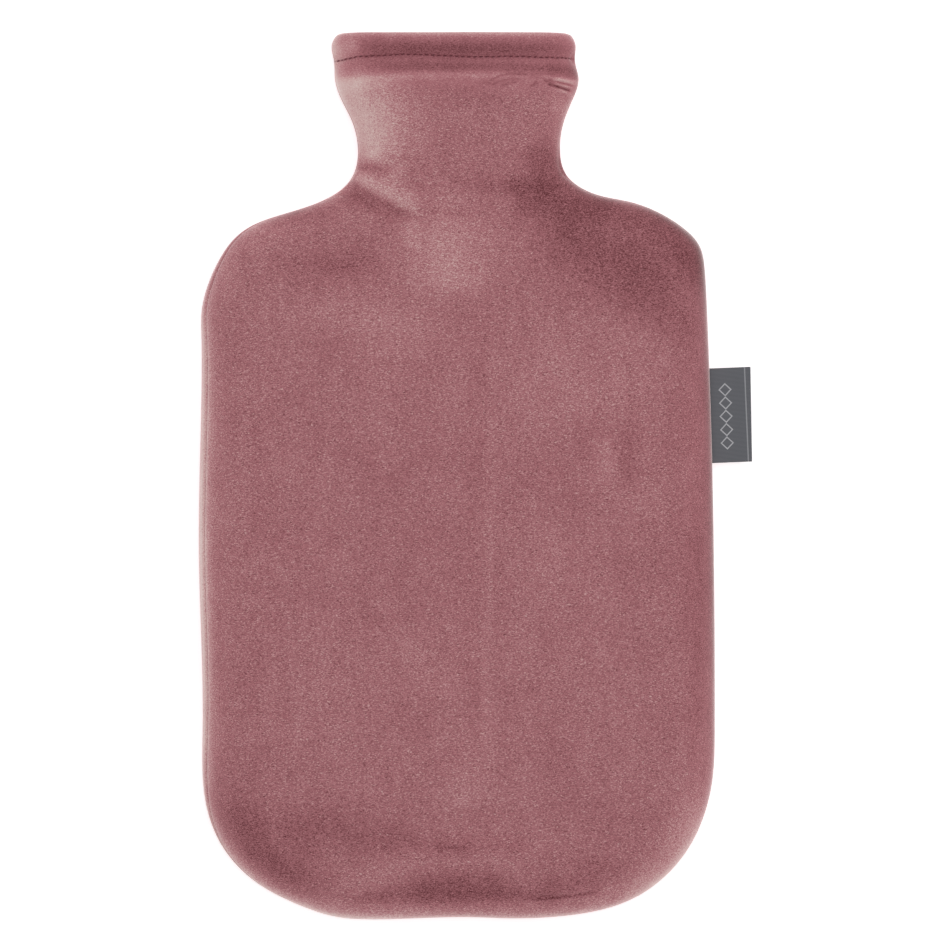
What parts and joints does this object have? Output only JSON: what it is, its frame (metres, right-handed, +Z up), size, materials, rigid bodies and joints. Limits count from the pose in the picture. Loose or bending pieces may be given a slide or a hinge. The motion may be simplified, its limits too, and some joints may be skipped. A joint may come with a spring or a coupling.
{
  "type": "hot water bottle cover",
  "caption": "Velour cover for a rubber hot water bottle, plump and hollow, lying on its back with an open hemmed mouth and a folded side label.",
  "frame": {"origin": "on the surface that the cover lies on, under the middle of the body, 150 mm from its bottom edge", "axes": "+Z up, out of the front; +Y towards the neck and the open mouth; +X to the right seen from the front, the label's side"},
  "size_m": [0.2157, 0.3449, 0.0393],
  "materials": {
    "velour": "short pile velour, dusty rose, matt with a soft sheen",
    "woven_tape": "woven satin tape, dark grey"
  },
  "bodies": {
    "root": {"front_panel": "velour", "back_panel": "velour", "side_label": "woven_tape"}
  },
  "joints": []
}
